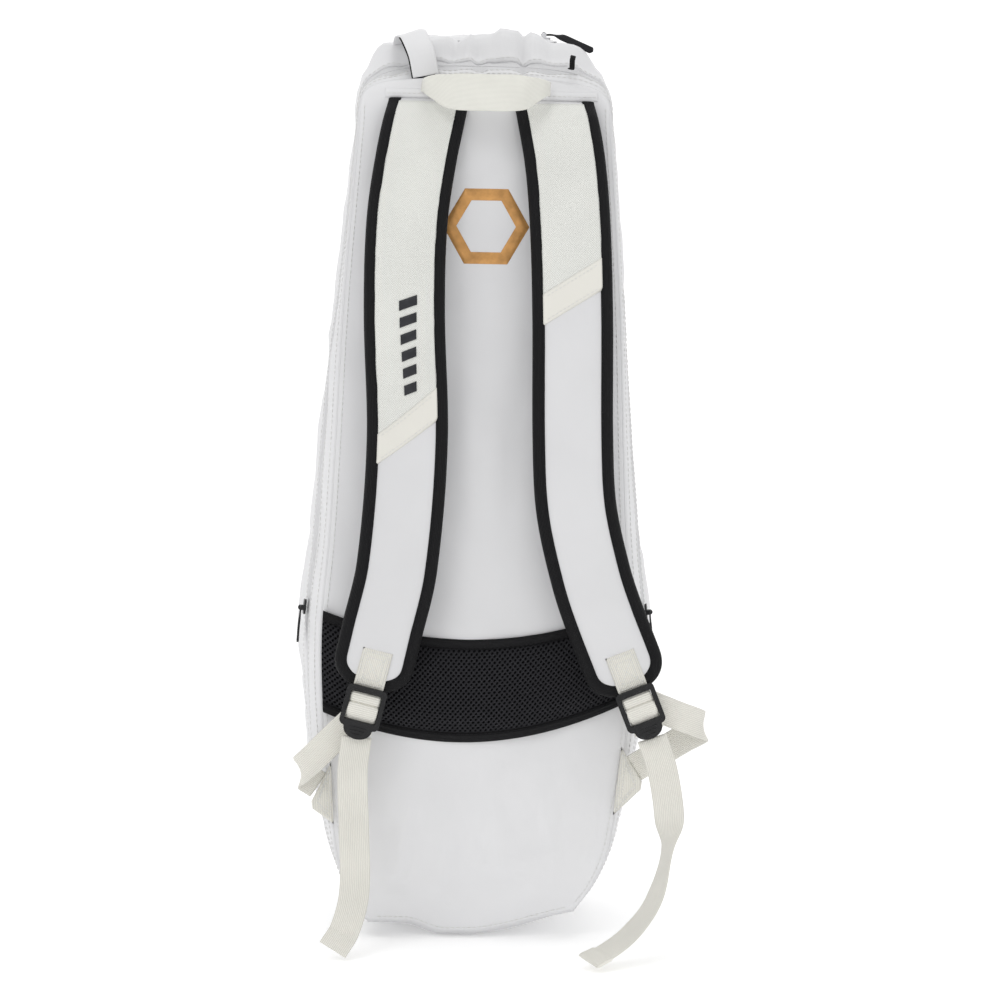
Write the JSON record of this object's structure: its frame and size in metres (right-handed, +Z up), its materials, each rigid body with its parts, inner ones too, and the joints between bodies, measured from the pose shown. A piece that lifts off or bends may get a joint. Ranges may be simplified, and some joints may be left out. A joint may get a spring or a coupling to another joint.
{
  "type": "racket backpack",
  "caption": "Tall slim racket backpack in light coated fabric with padded shoulder straps, mesh lumbar pad, ladder-lock adjusters and a zipped clamshell lid.",
  "frame": {"origin": "centre of the flat base that the bag stands on", "axes": "+Z up; the shoulder straps face -Y and the clamshell lid faces +Y; +X to the right as seen from the straps"},
  "size_m": [0.35, 0.346, 0.776],
  "materials": {
    "coated_fabric": "matte",
    "overlay_fabric": "matte",
    "cream_webbing": "matte",
    "black_tape": "matte",
    "black_mesh": "matte",
    "zip_tape": "matte",
    "foam": "matte",
    "board": "matte",
    "black_plastic": "satin",
    "black_metal": "satin",
    "silver_metal": "satin",
    "bronze_print": "satin"
  },
  "bodies": {
    "bag": {"back_panel": "coated_fabric", "lower_front_panel": "coated_fabric", "lower_left_gusset": "coated_fabric", "lower_right_gusset": "coated_fabric", "rear_left_gusset": "coated_fabric", "rear_right_gusset": "coated_fabric", "rear_top_gusset": "coated_fabric", "base_panel": "coated_fabric", "rear_zip_tape": "zip_tape", "back_foam": "foam", "back_stiffener": "board", "base_stiffener": "board", "padded_divider": "foam", "lumbar_pad": "black_mesh", "lumbar_edge_tape": "black_tape", "emblem": "bronze_print", "strap_seam_tape": "coated_fabric", "hang_loop": "coated_fabric", "small_loop": "black_tape", "left_anchor_tab": "cream_webbing", "right_anchor_tab": "cream_webbing", "left_lower_webbing": "cream_webbing", "right_lower_webbing": "cream_webbing"},
    "lid": {"lid_front_panel": "coated_fabric", "lid_left_gusset": "coated_fabric", "lid_right_gusset": "coated_fabric", "lid_top_panel": "coated_fabric", "lid_zip_tape": "zip_tape", "front_pocket": "coated_fabric", "pocket_zip": "black_tape", "top_pocket_zip": "zip_tape"},
    "left_slider": {"left_slider": "black_metal"},
    "left_pull": {"left_pull": "black_tape"},
    "right_slider": {"right_slider": "black_metal"},
    "right_pull": {"right_pull": "black_tape"},
    "top_slider": {"top_slider": "silver_metal"},
    "top_pull": {"top_pull": "black_tape"},
    "pocket_slider": {"pocket_slider": "black_metal"},
    "pocket_pull": {"pocket_pull": "black_tape"},
    "grab_handle": {"grab_handle": "cream_webbing"},
    "left_strap": {"left_strap_pad": "coated_fabric", "left_strap_overlay": "overlay_fabric", "left_strap_tape": "black_tape", "left_strap_tab": "cream_webbing"},
    "left_lock": {"left_ladder_lock": "black_plastic", "left_threaded_webbing": "cream_webbing"},
    "left_tail": {"left_tail": "cream_webbing"},
    "right_strap": {"right_strap_pad": "coated_fabric", "right_strap_overlay": "overlay_fabric", "right_strap_tape": "black_tape", "right_strap_tab": "cream_webbing"},
    "right_lock": {"right_ladder_lock": "black_plastic", "right_threaded_webbing": "cream_webbing"},
    "right_tail": {"right_tail": "cream_webbing"}
  },
  "joints": [
    {"name": "lid_hinge", "type": "hinge", "parent": "bag", "child": "lid", "pos_m": [0, 0.1306, 0.27], "axis": [-1, 0, 0], "range_deg": [0, 45]},
    {"name": "left_slider_run", "type": "slide", "parent": "bag", "child": "left_slider", "axis": [0.0859, -0.0079, 0.9963], "range_m": [0, 0.25]},
    {"name": "left_pull_swing", "type": "hinge", "parent": "left_slider", "child": "left_pull", "pos_m": [-0.14956, -0.07799, 0.28146], "axis": [-0.2109, 0.9772, 0.0259], "range_deg": [0, 120]},
    {"name": "right_slider_run", "type": "slide", "parent": "bag", "child": "right_slider", "axis": [-0.0859, -0.0079, 0.9963], "range_m": [0, 0.25]},
    {"name": "right_pull_swing", "type": "hinge", "parent": "right_slider", "child": "right_pull", "pos_m": [0.14956, -0.07799, 0.28146], "axis": [-0.2109, -0.9772, -0.0259], "range_deg": [0, 120]},
    {"name": "top_slider_run", "type": "slide", "parent": "lid", "child": "top_slider", "axis": [-1, 0, 0], "range_m": [0, 0.095]},
    {"name": "top_pull_swing", "type": "hinge", "parent": "top_slider", "child": "top_pull", "pos_m": [0.051, -0.05005, 0.77405], "axis": [0, -1, 0], "range_deg": [0, 150]},
    {"name": "pocket_slider_run", "type": "slide", "parent": "lid", "child": "pocket_slider", "axis": [-1, 0, 0], "range_m": [0, 0.125]},
    {"name": "pocket_pull_swing", "type": "hinge", "parent": "pocket_slider", "child": "pocket_pull", "pos_m": [0.061, 0.12169, 0.572], "axis": [0, 0, -1], "range_deg": [0, 150]},
    {"name": "handle_lift", "type": "hinge", "parent": "bag", "child": "grab_handle", "pos_m": [0, -0.1136, 0.7215], "axis": [-1, 0, 0], "range_deg": [0, 65]},
    {"name": "left_strap_lift", "type": "hinge", "parent": "bag", "child": "left_strap", "pos_m": [0, -0.1165, 0.714], "axis": [-1, 0, 0], "range_deg": [0, 7], "deforming": ["left_lower_webbing"]},
    {"name": "left_lock_swivel", "type": "hinge", "parent": "left_strap", "child": "left_lock", "pos_m": [-0.09, -0.1572, 0.2225], "axis": [-0.9703, 0, 0.2419], "range_deg": [-4, 12]},
    {"name": "left_tail_swing", "type": "hinge", "parent": "left_lock", "child": "left_tail", "pos_m": [-0.09919, -0.1536, 0.18563], "axis": [-0.9703, 0, 0.2419], "range_deg": [0, 24]},
    {"name": "right_strap_lift", "type": "hinge", "parent": "bag", "child": "right_strap", "pos_m": [0, -0.1165, 0.714], "axis": [-1, 0, 0], "range_deg": [0, 7], "deforming": ["right_lower_webbing"]},
    {"name": "right_lock_swivel", "type": "hinge", "parent": "right_strap", "child": "right_lock", "pos_m": [0.1295, -0.1572, 0.224], "axis": [-0.9272, 0, -0.3746], "range_deg": [-4, 12]},
    {"name": "right_tail_swing", "type": "hinge", "parent": "right_lock", "child": "right_tail", "pos_m": [0.14374, -0.1536, 0.18877], "axis": [-0.9272, 0, -0.3746], "range_deg": [0, 24]}
  ]
}
